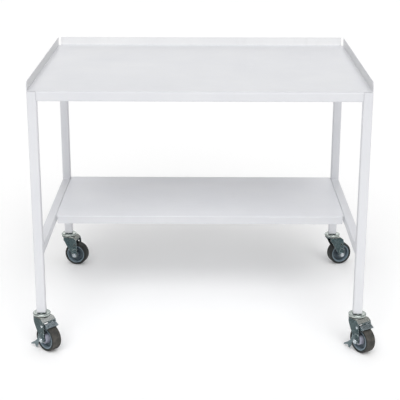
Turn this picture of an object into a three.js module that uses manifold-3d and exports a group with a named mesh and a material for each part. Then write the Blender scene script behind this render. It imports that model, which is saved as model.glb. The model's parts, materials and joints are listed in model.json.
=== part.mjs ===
// Instrument cart: a welded square-tube frame on four swivel casters, with a folded
// sheet worktop (upstands on three sides) and a shallow folded shelf at the back.
// Sizes are in millimetres, +Z is up, +X runs along the length, -Y is the open front.
import * as THREE from "three";
import { mergeVertices } from "three/addons/utils/BufferGeometryUtils.js";
import Module from "manifold-3d";

const wasm = await Module();
wasm.setup();

// Frame
const CART_LENGTH = 914;
const CART_DEPTH = 686;
const FRAME_TOP = 742;
const TUBE = 25.4;
const TUBE_WALL = 1.5;
const TUBE_CORNER = 3;
const LEG_BOTTOM = 112;
const SHELF_TOP = 302;

// Sheet metal
const SHEET = 1.5;
const BEND_INSIDE = 1.5;
const BEND_STEPS = 4;
const UPSTAND = 27;
const UPSTAND_NOTCH = 8;
const UPSTAND_CHAMFER = 7;
const WORKTOP_SETBACK = 2.5;
const SHELF_FRONT_SETBACK = 280;
const SHELF_FLANGE = 25;
const SHELF_LIP = 10;
const SHELF_SIDE_FLANGE = 20;
const SHELF_NOTCH = 5;
const SHELF_FIT = 0.2;

// Caster, measured from its swivel axis at the floor; +X is the trailing side
const WHEEL_RADIUS = 38;
const WHEEL_SEGMENTS = 28;
const AXLE_HEIGHT = WHEEL_RADIUS * Math.cos(Math.PI / WHEEL_SEGMENTS);
const TRAIL = 27;
const TYRE_HALF_WIDTH = 16;
const TYRE_SHOULDER = 5;
const TYRE_INNER_RADIUS = 30;
const RIM_HALF_WIDTH = 14;
const RIM_BAND = 3;
const WEB_HALF_WIDTH = 4;
const HUB_RADIUS = 13;
const HUB_HALF_LENGTH = 19;
const HUB_CHAMFER = 2;
const WEB_DRAFT = 1;
const HUB_BORE = 5.8;
const BOND_GAP = 0.05;

const FORK_HALF_WIDTH = 23;
const FORK_SHEET = 3;
const FORK_TOP = 100;
const FORK_BEND = 6;
const CROWN_RADIUS = 24;
const VISOR_START = 20;
const VISOR_END = 32;
const VISOR_DROP = 10;
const EYE_RADIUS = 9.5;
const FORK_BORE = 7;
const PAD_HEIGHT = 1.2;
const PAD_HALF_WIDTH = 8.5;
const PAD_SHOULDER = 50;

const SLOT_DROP = 7;
const SLOT_HALF_WIDTH = 2.3;
const SLOT_HALF_HEIGHT = 4.3;
// Leading edge of the cheeks from the axle eye up to the crown, as [x, z]
const CHEEK_EDGE = [
  [0, 66],
  [-9, 84],
  [-CROWN_RADIUS, 90],
];

const CUP_RADIUS = 25;
const CUP_BOTTOM = 101.2;
const CUP_TOP = 108;
const CUP_WALL = 2.4;
const CUP_ROUNDING = 2.2;
const BALL_CIRCLE = 16;
const BALL_RADIUS = 2.5;
const BALL_HEIGHT = 102.95;

const KINGPIN_RADIUS = 6;
const RIVET_HEAD_RADIUS = 9;
const RIVET_HEAD_BOTTOM = 93;
const RIVET_HEAD_CHAMFER = 1.8;
const COLLAR_RADIUS = 9.5;
const STEM_RADIUS = 5;
const STEM_TOP = 145;
const STEM_CHAMFER = 1;
const INSERT_FLANGE = 2;
const INSERT_TOP = 148;
const INSERT_SIDE = 22;
const INSERT_CORNER = 1.5;
const FIT_GAP = 0.15;

const AXLE_RADIUS = 4;
const AXLE_CHAMFER = 0.8;
const SLEEVE_RADIUS = 5.4;
const HEX_RADIUS = 7.5;
const HEX_HEIGHT = 6;
const THREAD_END = 2.5;

// Brake rocker on the two front casters. Its outlines are [x, z], seen from the side.
const PIVOT = [26, 77.5];
const PIVOT_RADIUS = 2.5;
const PIVOT_HEAD_RADIUS = 4.2;
const PIVOT_HEAD = 1.4;
const PIVOT_HEAD_CHAMFER = 0.9;
const ARM_HOLE = 2.8;
const ARM_END_RADIUS = 6;
const ARM_SHEET = 2;
const ARM_GAP = 0.8;
const STRAP_RADIUS = 16;
const PEDAL_UNDERSIDE = [31, 69.5];
const PEDAL_SIDE = [
  [46, 74],
  [48.5, 77],
  [36, 84.5],
  [30, 85],
];
const SPLIT_TAIL = [
  [17, 72],
  [8, 58],
  [4, 44],
  [-1, 31],
  [-13, 20],
  [-29, 10],
  [-31, 5],
  [-12, 11.5],
  [-8.5, 3.5],
  [-4, 4],
  [2, 14],
  [7, 26],
];
const RIBBED_PLATE = [
  [34.5, 84],
  [34.5, 81.5],
  [46.8, 74],
  [49, 76.5],
  [47.6, 78.8],
  [46, 78.2],
  [44.6, 80.6],
  [43, 80],
  [41.6, 82.4],
  [40, 81.8],
  [38.6, 84.2],
  [37, 83.6],
  [35.6, 85],
];

// Facets per full turn, or per bend for the sheet metal
const ROUND_STEPS = 12;
const RING_STEPS = 20;
const BALL_STEPS = 6;
const CROWN_STEPS = 12;
const EYE_STEPS = 10;
const CORNER_STEPS = 3;
const STRAP_STEPS = 6;

// How far the cutting bodies run past the body they cut
const OVERSHOOT = 1;
const CUT_REACH = 60;

// Resting swivel angles of the trailing side about +Z, in degrees
const CASTERS = [
  { prefix: "front_left", side: -1, end: -1, angle: -43, brake: true },
  { prefix: "front_right", side: 1, end: -1, angle: -56, brake: true },
  { prefix: "rear_left", side: -1, end: 1, angle: -15, brake: false },
  { prefix: "rear_right", side: 1, end: 1, angle: 18, brake: false },
];

// Finishes
const FINISHES = {
  powder_coat: { color: 0xe6e7ea, roughness: 0.45, metalness: 0 },
  zinc: { color: 0x8a9694, roughness: 0.35, metalness: 0.9 },
  bright_zinc: { color: 0xb9c2c4, roughness: 0.25, metalness: 0.95 },
  bearing_steel: { color: 0x9b9fa3, roughness: 0.3, metalness: 1 },
  nylon: { color: 0x5d6575, roughness: 0.55, metalness: 0 },
  rubber: { color: 0x3d3d3a, roughness: 0.85, metalness: 0 },
  pale_plastic: { color: 0xc6c9cc, roughness: 0.6, metalness: 0 },
};

const HALF_LENGTH = CART_LENGTH / 2;
const HALF_DEPTH = CART_DEPTH / 2;

// ---- Solids --------------------------------------------------------------

// A three.js geometry as a manifold solid.
function solid(geometry) {
  const bare = new THREE.BufferGeometry();
  bare.setAttribute("position", geometry.getAttribute("position"));
  if (geometry.index) bare.setIndex(geometry.index);
  const merged = mergeVertices(bare, 1e-4);
  const mesh = new wasm.Mesh({
    numProp: 3,
    vertProperties: new Float32Array(merged.getAttribute("position").array),
    triVerts: new Uint32Array(merged.index.array),
  });
  mesh.merge();
  return new wasm.Manifold(mesh);
}

// A manifold solid as a three.js geometry with flat faces.
function geometryOf(body) {
  const mesh = body.getMesh();
  const indexed = new THREE.BufferGeometry();
  indexed.setAttribute("position", new THREE.BufferAttribute(mesh.vertProperties, 3));
  indexed.setIndex(new THREE.BufferAttribute(mesh.triVerts, 1));
  const flat = indexed.toNonIndexed();
  flat.computeVertexNormals();
  return flat;
}

function union(...bodies) {
  return bodies.reduce((sum, body) => sum.add(body));
}

function subtract(body, ...cuts) {
  return cuts.reduce((rest, cut) => rest.subtract(cut), body);
}

// ---- Outlines ------------------------------------------------------------

function toShape(points, holes = []) {
  const shape = new THREE.Shape(points.map(([u, v]) => new THREE.Vector2(u, v)));
  for (const hole of holes) {
    shape.holes.push(new THREE.Path(hole.map(([u, v]) => new THREE.Vector2(u, v))));
  }
  return shape;
}

// Points on an arc, angles in degrees, both ends included.
function arc(centreU, centreV, radius, from, to, steps) {
  const points = [];
  for (let i = 0; i <= steps; i += 1) {
    const angle = THREE.MathUtils.degToRad(from + ((to - from) * i) / steps);
    points.push([centreU + radius * Math.cos(angle), centreV + radius * Math.sin(angle)]);
  }
  return points;
}

function circle(centreU, centreV, radius, steps = ROUND_STEPS) {
  return arc(centreU, centreV, radius, 0, 360, steps).slice(0, steps);
}

function roundedSquare(side, corner, steps) {
  const reach = side / 2 - corner;
  return [
    ...arc(reach, reach, corner, 0, 90, steps),
    ...arc(-reach, reach, corner, 90, 180, steps),
    ...arc(-reach, -reach, corner, 180, 270, steps),
    ...arc(reach, -reach, corner, 270, 360, steps),
  ];
}

// The outline of a bent sheet that follows a centre line, with a round bend at each corner.
function sheetProfile(path) {
  const centreRadius = BEND_INSIDE + SHEET / 2;
  const left = [];
  const right = [];
  const place = (point, normal) => {
    left.push([point.x + (normal.x * SHEET) / 2, point.y + (normal.y * SHEET) / 2]);
    right.push([point.x - (normal.x * SHEET) / 2, point.y - (normal.y * SHEET) / 2]);
  };
  const corners = path.map(([u, v]) => new THREE.Vector2(u, v));
  const headings = corners.slice(1).map((corner, i) => corner.clone().sub(corners[i]).normalize());
  const normals = headings.map((heading) => new THREE.Vector2(-heading.y, heading.x));
  place(corners[0], normals[0]);
  for (let i = 1; i < headings.length; i += 1) {
    const turn = Math.asin(headings[i - 1].cross(headings[i]));
    const start = corners[i].clone();
    start.addScaledVector(headings[i - 1], -centreRadius * Math.tan(Math.abs(turn) / 2));
    const centre = start.clone().addScaledVector(normals[i - 1], Math.sign(turn) * centreRadius);
    for (let step = 0; step <= BEND_STEPS; step += 1) {
      const swing = (turn * step) / BEND_STEPS;
      const normal = normals[i - 1].clone().rotateAround(new THREE.Vector2(), swing);
      place(centre.clone().addScaledVector(normal, -Math.sign(turn) * centreRadius), normal);
    }
  }
  place(corners[corners.length - 1], normals[normals.length - 1]);
  return [...left, ...right.reverse()];
}

// ---- Swept and turned geometries -----------------------------------------

function alongZ(outline, bottom, top, holes = []) {
  const geometry = new THREE.ExtrudeGeometry(toShape(outline, holes), {
    depth: top - bottom,
    bevelEnabled: false,
  });
  return geometry.translate(0, 0, bottom);
}

// Outline in Y and Z, swept from one X to another.
function alongX(outline, from, to, holes = []) {
  const turn = new THREE.Matrix4().makeBasis(
    new THREE.Vector3(0, 1, 0),
    new THREE.Vector3(0, 0, 1),
    new THREE.Vector3(1, 0, 0),
  );
  return alongZ(outline, from, to, holes).applyMatrix4(turn);
}

// Outline in X and Z, swept from one Y to another.
function alongY(outline, from, to, holes = []) {
  const turn = new THREE.Matrix4().makeBasis(
    new THREE.Vector3(1, 0, 0),
    new THREE.Vector3(0, 0, 1),
    new THREE.Vector3(0, -1, 0),
  );
  return alongZ(outline, -to, -from, holes).applyMatrix4(turn);
}

// A counter-clockwise profile of [radius, height] turned about Z.
function turnedAboutZ(profile, steps) {
  const points = profile.map(([radius, height]) => new THREE.Vector2(radius, height));
  return new THREE.LatheGeometry(points, steps).rotateX(Math.PI / 2);
}

// A counter-clockwise profile of [radius, reach along Y], turned about the wheel axle's line.
function turnedAboutAxle(profile, steps) {
  const points = profile.map(([radius, reach]) => new THREE.Vector2(radius, reach));
  return new THREE.LatheGeometry(points, steps, Math.PI / steps);
}

function closed(profile) {
  return [...profile, profile[0]];
}

// ---- Assembly helpers ----------------------------------------------------

function addPiece(parent, name, geometry, finish) {
  const mesh = new THREE.Mesh(geometry, new THREE.MeshStandardMaterial(FINISHES[finish]));
  mesh.name = name;
  parent.add(mesh);
  return mesh;
}

function tube(length, alongAxis) {
  const outer = roundedSquare(TUBE, TUBE_CORNER, CORNER_STEPS);
  const inner = roundedSquare(TUBE - 2 * TUBE_WALL, TUBE_CORNER - TUBE_WALL, CORNER_STEPS);
  return alongAxis(outer, -length / 2, length / 2, [inner]);
}

// ---- Frame ---------------------------------------------------------------

const LEG_X = HALF_LENGTH - TUBE / 2;
const LEG_Y = HALF_DEPTH - TUBE / 2;

function addFrame(cart) {
  const legLength = FRAME_TOP - LEG_BOTTOM;
  for (const { prefix, side, end } of CASTERS) {
    const leg = addPiece(cart, `${prefix}_leg`, tube(legLength, alongZ), "powder_coat");
    leg.position.set(side * LEG_X, end * LEG_Y, LEG_BOTTOM + legLength / 2);
  }
  const railTop = FRAME_TOP - TUBE / 2;
  const longRail = CART_LENGTH - 2 * TUBE;
  const shortRail = CART_DEPTH - 2 * TUBE;
  for (const [name, end] of [["front", -1], ["rear", 1]]) {
    const rail = addPiece(cart, `top_rail_${name}`, tube(longRail, alongX), "powder_coat");
    rail.position.set(0, end * LEG_Y, railTop);
  }
  for (const [name, side] of [["left", -1], ["right", 1]]) {
    const rail = addPiece(cart, `top_rail_${name}`, tube(shortRail, alongY), "powder_coat");
    rail.position.set(side * LEG_X, 0, railTop);
    const shelfRail = addPiece(cart, `shelf_rail_${name}`, tube(shortRail, alongY), "powder_coat");
    shelfRail.position.set(side * LEG_X, 0, SHELF_TOP - TUBE / 2);
  }
}

// The sheet lies on the rails; its side and rear edges fold up.
function addWorktop(cart) {
  const middle = SHEET / 2;
  const front = WORKTOP_SETBACK - HALF_DEPTH;
  const fold = BEND_INSIDE + SHEET;
  const sides = sheetProfile([
    [-HALF_LENGTH + middle, UPSTAND],
    [-HALF_LENGTH + middle, middle],
    [HALF_LENGTH - middle, middle],
    [HALF_LENGTH - middle, UPSTAND],
  ]);
  const rear = sheetProfile([
    [0, middle],
    [HALF_DEPTH - middle, middle],
    [HALF_DEPTH - middle, UPSTAND],
  ]);
  const plate = [
    [front, 0],
    [HALF_DEPTH - fold, 0],
    [HALF_DEPTH - fold, SHEET],
    [front, SHEET],
  ];
  const chamfer = [
    [front - OVERSHOOT, UPSTAND + OVERSHOOT],
    [front - OVERSHOOT, UPSTAND - UPSTAND_CHAMFER - OVERSHOOT],
    [front + UPSTAND_CHAMFER + OVERSHOOT, UPSTAND + OVERSHOOT],
  ];
  const notched = HALF_LENGTH - UPSTAND_NOTCH;
  const sheet = union(
    solid(alongY(sides, front, HALF_DEPTH - UPSTAND_NOTCH)),
    solid(alongX(rear, -notched, notched)),
    solid(alongX(plate, fold - HALF_LENGTH, HALF_LENGTH - fold)),
  );
  const corners = solid(alongX(chamfer, -CART_LENGTH, CART_LENGTH));
  const worktop = addPiece(cart, "worktop", geometryOf(subtract(sheet, corners)), "powder_coat");
  worktop.position.z = FRAME_TOP;
}

// The shelf hangs between the side rails; every edge folds down and the long edges turn in.
function addShelf(cart) {
  const middle = SHEET / 2;
  const halfLength = HALF_LENGTH - TUBE - SHELF_FIT;
  const depth = CART_DEPTH - SHELF_FRONT_SETBACK;
  const fold = BEND_INSIDE + SHEET;
  const ends = sheetProfile([
    [-halfLength + middle, -SHELF_SIDE_FLANGE],
    [-halfLength + middle, -middle],
    [halfLength - middle, -middle],
    [halfLength - middle, -SHELF_SIDE_FLANGE],
  ]);
  const edges = sheetProfile([
    [-depth + SHELF_LIP, middle - SHELF_FLANGE],
    [-depth + middle, middle - SHELF_FLANGE],
    [-depth + middle, -middle],
    [-middle, -middle],
    [-middle, middle - SHELF_FLANGE],
    [-SHELF_LIP, middle - SHELF_FLANGE],
  ]);
  const plate = [
    [-depth + fold, -SHEET],
    [-fold, -SHEET],
    [-fold, 0],
    [-depth + fold, 0],
  ];
  const notched = halfLength - SHELF_NOTCH;
  const sheet = union(
    solid(alongY(ends, SHELF_NOTCH - depth, -SHELF_NOTCH)),
    solid(alongX(edges, -notched, notched)),
    solid(alongX(plate, fold - halfLength, halfLength - fold)),
  );
  const shelf = addPiece(cart, "lower_shelf", geometryOf(sheet), "powder_coat");
  shelf.position.set(0, HALF_DEPTH, SHELF_TOP);
}

// ---- Caster --------------------------------------------------------------

// Plug that fills the end of the leg and holds the caster's stem.
function insertGeometry() {
  const bore = circle(0, 0, STEM_RADIUS + FIT_GAP);
  const rim = roundedSquare(TUBE, TUBE_CORNER, CORNER_STEPS);
  const core = roundedSquare(INSERT_SIDE, INSERT_CORNER, CORNER_STEPS);
  const flange = solid(alongZ(rim, LEG_BOTTOM - INSERT_FLANGE, LEG_BOTTOM, [bore]));
  const plug = solid(alongZ(core, LEG_BOTTOM, INSERT_TOP, [bore]));
  return geometryOf(union(flange, plug));
}

// Stem, collar and kingpin with its riveted-over lower head, in one turned piece.
function stemGeometry() {
  const headTop = FORK_TOP - FORK_SHEET - 2 * FIT_GAP;
  const collarBottom = CUP_TOP + FIT_GAP;
  const collarTop = LEG_BOTTOM - INSERT_FLANGE - FIT_GAP;
  return turnedAboutZ(
    [
      [0, RIVET_HEAD_BOTTOM],
      [RIVET_HEAD_RADIUS - RIVET_HEAD_CHAMFER, RIVET_HEAD_BOTTOM],
      [RIVET_HEAD_RADIUS, RIVET_HEAD_BOTTOM + RIVET_HEAD_CHAMFER],
      [RIVET_HEAD_RADIUS, headTop],
      [KINGPIN_RADIUS, headTop],
      [KINGPIN_RADIUS, collarBottom],
      [COLLAR_RADIUS, collarBottom],
      [COLLAR_RADIUS, collarTop],
      [STEM_RADIUS, collarTop],
      [STEM_RADIUS, STEM_TOP - STEM_CHAMFER],
      [STEM_RADIUS - STEM_CHAMFER, STEM_TOP],
      [0, STEM_TOP],
    ],
    ROUND_STEPS,
  );
}

function cupGeometry() {
  const bore = KINGPIN_RADIUS + FIT_GAP;
  const ceiling = CUP_TOP - CUP_WALL;
  const skirt = CUP_RADIUS - CUP_WALL;
  return turnedAboutZ(
    closed([
      [bore, ceiling],
      [skirt, ceiling],
      [skirt, CUP_BOTTOM],
      [CUP_RADIUS, CUP_BOTTOM],
      ...arc(CUP_RADIUS - CUP_ROUNDING, CUP_TOP - CUP_ROUNDING, CUP_ROUNDING, 0, 90, 2),
      [bore, CUP_TOP],
    ]),
    RING_STEPS,
  );
}

// The swivel's ring of balls, as one ring of the balls' own thickness.
function ballRingGeometry() {
  const section = circle(BALL_CIRCLE, BALL_HEIGHT, BALL_RADIUS, BALL_STEPS);
  return turnedAboutZ(closed(section), RING_STEPS);
}

// Flat-sided channel with two rounded upper edges, seen along the fork's length.
function channelEnd(halfWidth, top, bend) {
  const reach = halfWidth - bend;
  return [
    [-halfWidth, 0],
    [halfWidth, 0],
    ...arc(reach, top - bend, bend, 0, 90, BEND_STEPS),
    ...arc(-reach, top - bend, bend, 90, 180, BEND_STEPS),
  ];
}

// Round crown, sloping visor over the wheel, and two cheeks down to the axle, before hollowing.
function forkBlank() {
  const visorTop = FORK_TOP - VISOR_DROP;
  const visorBottom = visorTop - FORK_SHEET;
  const sideView = [
    [-CROWN_RADIUS, FORK_TOP],
    [VISOR_START, FORK_TOP],
    [VISOR_END, visorTop],
    [VISOR_END, visorBottom],
    [VISOR_END + FORK_SHEET / 2, visorBottom - FORK_SHEET],
    ...arc(TRAIL, AXLE_HEIGHT, EYE_RADIUS, 10, -190, EYE_STEPS),
    ...CHEEK_EDGE,
  ];
  const planView = [
    ...arc(0, 0, CROWN_RADIUS, 90, 270, CROWN_STEPS),
    [VISOR_END + EYE_RADIUS, -CROWN_RADIUS],
    [VISOR_END + EYE_RADIUS, CROWN_RADIUS],
  ];
  const endView = channelEnd(FORK_HALF_WIDTH, FORK_TOP, FORK_BEND);
  return solid(alongY(sideView, -CROWN_RADIUS, CROWN_RADIUS))
    .intersect(solid(alongZ(planView, 0, FORK_TOP + OVERSHOOT)))
    .intersect(solid(alongX(endView, -CUT_REACH, CUT_REACH)));
}

// The space between the cheeks and under the crown and visor.
function forkHollow() {
  const ceiling = FORK_TOP - FORK_SHEET;
  const visorSlope = VISOR_DROP / (VISOR_END - VISOR_START);
  const underside = [
    [-CUT_REACH, OVERSHOOT],
    [CUT_REACH, OVERSHOOT],
    [CUT_REACH, ceiling - VISOR_DROP - (CUT_REACH - VISOR_END) * visorSlope],
    [VISOR_START, ceiling],
    [-CUT_REACH, ceiling],
  ];
  const endView = channelEnd(FORK_HALF_WIDTH - FORK_SHEET, ceiling, FORK_BEND - FORK_SHEET);
  return solid(alongY(underside, -CROWN_RADIUS, CROWN_RADIUS)).intersect(
    solid(alongX(endView, -CUT_REACH, CUT_REACH)),
  );
}

// Arch-shaped pad pressed out of each cheek, where the nut and the bolt's head bear.
function axlePads() {
  const outline = [
    ...arc(TRAIL, AXLE_HEIGHT, PAD_HALF_WIDTH, 180, 360, EYE_STEPS),
    ...arc(TRAIL, PAD_SHOULDER, PAD_HALF_WIDTH, 0, 180, EYE_STEPS),
  ];
  const reach = FORK_HALF_WIDTH + PAD_HEIGHT;
  const root = FORK_HALF_WIDTH - OVERSHOOT;
  return union(solid(alongY(outline, -reach, -root)), solid(alongY(outline, root, reach)));
}

// Pressed steel fork. A braked one has pivot holes in the cheeks, the others a short slot.
function forkGeometry(withPivot) {
  const [pivotX, pivotZ] = PIVOT;
  const slotBottom = pivotZ - SLOT_DROP;
  const slot = [
    ...arc(pivotX, slotBottom, SLOT_HALF_WIDTH, 180, 360, BALL_STEPS),
    ...arc(pivotX, slotBottom + SLOT_HALF_HEIGHT, SLOT_HALF_WIDTH, 0, 180, BALL_STEPS),
  ];
  const sideHole = withPivot ? circle(pivotX, pivotZ, PIVOT_RADIUS + FIT_GAP) : slot;
  const axleHole = circle(TRAIL, AXLE_HEIGHT, AXLE_RADIUS + FIT_GAP);
  const kingpinHole = circle(0, 0, FORK_BORE);
  return geometryOf(
    subtract(
      union(forkBlank(), axlePads()),
      forkHollow(),
      solid(alongZ(kingpinHole, FORK_TOP - 2 * FORK_SHEET, FORK_TOP + OVERSHOOT)),
      solid(alongY(axleHole, -CUT_REACH, CUT_REACH)),
      solid(alongY(sideHole, -CUT_REACH, CUT_REACH)),
    ),
  );
}

function hexagon() {
  return arc(0, 0, HEX_RADIUS, 30, 390, 6).slice(0, 6);
}

function boltGeometry() {
  const headInside = FORK_HALF_WIDTH + PAD_HEIGHT + FIT_GAP;
  const tip = -FORK_HALF_WIDTH - PAD_HEIGHT - HEX_HEIGHT - THREAD_END;
  const head = solid(alongY(hexagon(), headInside, headInside + HEX_HEIGHT));
  const shank = solid(
    turnedAboutAxle(
      [
        [0, tip],
        [AXLE_RADIUS - AXLE_CHAMFER, tip],
        [AXLE_RADIUS, tip + AXLE_CHAMFER],
        [AXLE_RADIUS, headInside + OVERSHOOT],
        [0, headInside + OVERSHOOT],
      ],
      ROUND_STEPS,
    ),
  );
  return geometryOf(union(head, shank));
}

function nutGeometry() {
  const hole = circle(0, 0, AXLE_RADIUS + FIT_GAP);
  const face = -FORK_HALF_WIDTH - PAD_HEIGHT - FIT_GAP;
  return alongY(hexagon(), face - HEX_HEIGHT, face, [hole]);
}

function sleeveGeometry() {
  const hole = circle(0, 0, AXLE_RADIUS + FIT_GAP);
  const reach = FORK_HALF_WIDTH - FORK_SHEET - FIT_GAP;
  return alongY(circle(0, 0, SLEEVE_RADIUS), -reach, reach, [hole]);
}

function rimGeometry() {
  const outer = TYRE_INNER_RADIUS - BOND_GAP;
  const band = outer - RIM_BAND;
  return turnedAboutAxle(
    closed([
      [HUB_BORE, -HUB_HALF_LENGTH],
      [HUB_RADIUS - HUB_CHAMFER, -HUB_HALF_LENGTH],
      [HUB_RADIUS, -HUB_HALF_LENGTH + HUB_CHAMFER],
      [HUB_RADIUS + WEB_DRAFT, -WEB_HALF_WIDTH],
      [band - WEB_DRAFT, -WEB_HALF_WIDTH],
      [band, -RIM_HALF_WIDTH],
      [outer, -RIM_HALF_WIDTH],
      [outer, RIM_HALF_WIDTH],
      [band, RIM_HALF_WIDTH],
      [band - WEB_DRAFT, WEB_HALF_WIDTH],
      [HUB_RADIUS + WEB_DRAFT, WEB_HALF_WIDTH],
      [HUB_RADIUS, HUB_HALF_LENGTH - HUB_CHAMFER],
      [HUB_RADIUS - HUB_CHAMFER, HUB_HALF_LENGTH],
      [HUB_BORE, HUB_HALF_LENGTH],
    ]),
    WHEEL_SEGMENTS,
  );
}

function tyreGeometry() {
  const tread = TYRE_HALF_WIDTH - TYRE_SHOULDER;
  const shoulder = WHEEL_RADIUS - TYRE_SHOULDER;
  return turnedAboutAxle(
    closed([
      [TYRE_INNER_RADIUS, -RIM_HALF_WIDTH],
      ...arc(shoulder, -tread, TYRE_SHOULDER, -90, 0, 2),
      ...arc(shoulder, tread, TYRE_SHOULDER, 0, 90, 2),
      [TYRE_INNER_RADIUS, RIM_HALF_WIDTH],
    ]),
    WHEEL_SEGMENTS,
  );
}

// Rocker between the cheeks: ribbed foot plate behind the visor, an arm on each pivot rivet,
// and on the nut's side a strap that runs down past the hub to a split release tail.
function brakeLeverGeometry() {
  const outer = FORK_HALF_WIDTH - FORK_SHEET - ARM_GAP;
  const inner = outer - ARM_SHEET;
  const [pivotX, pivotZ] = PIVOT;
  const hole = circle(pivotX, pivotZ, ARM_HOLE);
  const shortArm = [...arc(pivotX, pivotZ, ARM_END_RADIUS, 120, 300, STRAP_STEPS), ...PEDAL_SIDE];
  const longArm = [
    ...arc(pivotX, pivotZ, ARM_END_RADIUS, 120, 160, 2),
    ...SPLIT_TAIL,
    ...arc(TRAIL, AXLE_HEIGHT, STRAP_RADIUS, 175, 100, STRAP_STEPS),
    PEDAL_UNDERSIDE,
    ...PEDAL_SIDE,
  ];
  return geometryOf(
    union(
      solid(alongY(longArm, -outer, -inner, [hole])),
      solid(alongY(shortArm, inner, outer, [hole])),
      solid(alongY(RIBBED_PLATE, -outer, outer)),
    ),
  );
}

// Pivot rivet: a head inside the arm, the pin through arm and cheek, and a head outside.
function pivotRivetGeometry() {
  const inside = FORK_HALF_WIDTH - FORK_SHEET - ARM_GAP - ARM_SHEET - FIT_GAP;
  const outside = FORK_HALF_WIDTH + FIT_GAP;
  return turnedAboutAxle(
    [
      [0, inside - PIVOT_HEAD],
      [PIVOT_HEAD_RADIUS - PIVOT_HEAD_CHAMFER, inside - PIVOT_HEAD],
      [PIVOT_HEAD_RADIUS, inside],
      [PIVOT_RADIUS, inside],
      [PIVOT_RADIUS, outside],
      [PIVOT_HEAD_RADIUS, outside],
      [PIVOT_HEAD_RADIUS - PIVOT_HEAD_CHAMFER, outside + PIVOT_HEAD],
      [0, outside + PIVOT_HEAD],
    ],
    ROUND_STEPS,
  );
}

function addCaster(cart, { prefix, side, end, angle, brake }) {
  const caster = new THREE.Group();
  caster.position.set(side * LEG_X, end * LEG_Y, 0);
  cart.add(caster);
  addPiece(caster, `${prefix}_leg_insert`, insertGeometry(), "pale_plastic");
  addPiece(caster, `${prefix}_stem`, stemGeometry(), "bright_zinc");
  addPiece(caster, `${prefix}_swivel_cup`, cupGeometry(), "zinc");

  const swivel = new THREE.Group();
  swivel.rotation.z = THREE.MathUtils.degToRad(angle);
  caster.add(swivel);
  addPiece(swivel, `${prefix}_ball_ring`, ballRingGeometry(), "bearing_steel");
  addPiece(swivel, `${prefix}_fork`, forkGeometry(brake), "zinc");

  const axle = new THREE.Group();
  axle.position.set(TRAIL, 0, AXLE_HEIGHT);
  swivel.add(axle);
  addPiece(axle, `${prefix}_axle_bolt`, boltGeometry(), "bright_zinc");
  addPiece(axle, `${prefix}_axle_nut`, nutGeometry(), "bright_zinc");
  addPiece(axle, `${prefix}_axle_sleeve`, sleeveGeometry(), "bearing_steel");
  addPiece(axle, `${prefix}_wheel_rim`, rimGeometry(), "nylon");
  addPiece(axle, `${prefix}_tyre`, tyreGeometry(), "rubber");

  if (brake) {
    addPiece(swivel, `${prefix}_brake_lever`, brakeLeverGeometry(), "bright_zinc");
    const [pivotX, pivotZ] = PIVOT;
    const inner = addPiece(swivel, `${prefix}_brake_rivet_a`, pivotRivetGeometry(), "bright_zinc");
    inner.position.set(pivotX, 0, pivotZ);
    const outer = addPiece(swivel, `${prefix}_brake_rivet_b`, pivotRivetGeometry(), "bright_zinc");
    outer.position.set(pivotX, 0, pivotZ);
    outer.rotation.z = Math.PI;
  }
}

// ---- Cart ----------------------------------------------------------------

const group = new THREE.Group();
group.name = "instrument_cart";
const cart = new THREE.Group();
group.add(cart);
addFrame(cart);
addWorktop(cart);
addShelf(cart);
for (const caster of CASTERS) addCaster(cart, caster);

// The origin is on the floor under the middle of the cart as it stands, casters included.
const bounds = new THREE.Box3().setFromObject(group, true);
const centre = bounds.getCenter(new THREE.Vector3());
cart.position.set(-centre.x, -centre.y, -bounds.min.z);
group.updateMatrixWorld(true);

export default group;
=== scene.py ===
"""Instrument cart: a white powder-coated tube frame with a folded worktop and shelf on
four swivel casters. Lengths in the tables are in millimetres, in a caster's own frame:
X towards the trailing side, Y along the axle, Z up from the floor."""

import json
import math

import bmesh
import bpy
from mathutils import Matrix, Vector


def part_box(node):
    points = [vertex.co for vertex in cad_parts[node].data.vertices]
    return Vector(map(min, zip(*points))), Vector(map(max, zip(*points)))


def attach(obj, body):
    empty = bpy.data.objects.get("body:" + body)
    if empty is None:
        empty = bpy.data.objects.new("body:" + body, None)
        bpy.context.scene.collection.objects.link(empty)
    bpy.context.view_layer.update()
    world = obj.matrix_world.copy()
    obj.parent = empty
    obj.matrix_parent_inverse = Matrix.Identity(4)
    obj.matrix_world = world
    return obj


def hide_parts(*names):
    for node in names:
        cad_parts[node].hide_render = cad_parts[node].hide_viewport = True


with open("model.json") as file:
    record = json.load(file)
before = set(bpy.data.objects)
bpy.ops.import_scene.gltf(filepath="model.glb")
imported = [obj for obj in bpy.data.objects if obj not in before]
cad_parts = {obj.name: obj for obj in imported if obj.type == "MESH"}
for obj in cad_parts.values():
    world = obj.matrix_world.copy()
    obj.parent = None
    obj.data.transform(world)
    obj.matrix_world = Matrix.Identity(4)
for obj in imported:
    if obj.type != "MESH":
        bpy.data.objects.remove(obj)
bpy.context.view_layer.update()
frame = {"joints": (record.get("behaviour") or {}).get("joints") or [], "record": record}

MM = 0.001
BODIES = frame["record"]["behaviour"]["bodies"]
JOINTS = {joint["name"]: joint for joint in frame["joints"]}
CASTERS = ["front_left", "front_right", "rear_left", "rear_right"]
BRAKED = ["front_left", "front_right"]

# Sheet and tube
TUBE_WALL = 1.5
TUBE_CORNER = 3.2
SHEET = 1.5
BEND_OUTSIDE = 3.0
UPSTAND = 27.0
UPSTAND_NOTCH = 8.0
REAR_OVERLAP = 60.0
UPSTAND_CHAMFER = 8.0
SHELF_FLANGE = 25.0
SHELF_SIDE_FLANGE = 20.0
SHELF_LIP = 10.0
SHELF_NOTCH = 5.0
EDGE = 0.35
WELD_RADIUS = 2.6
WELD_PITCH = 1.9
WELD_RIPPLE = 0.09
WELD_SINK = 0.2
WELD_STEPS = 6

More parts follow.
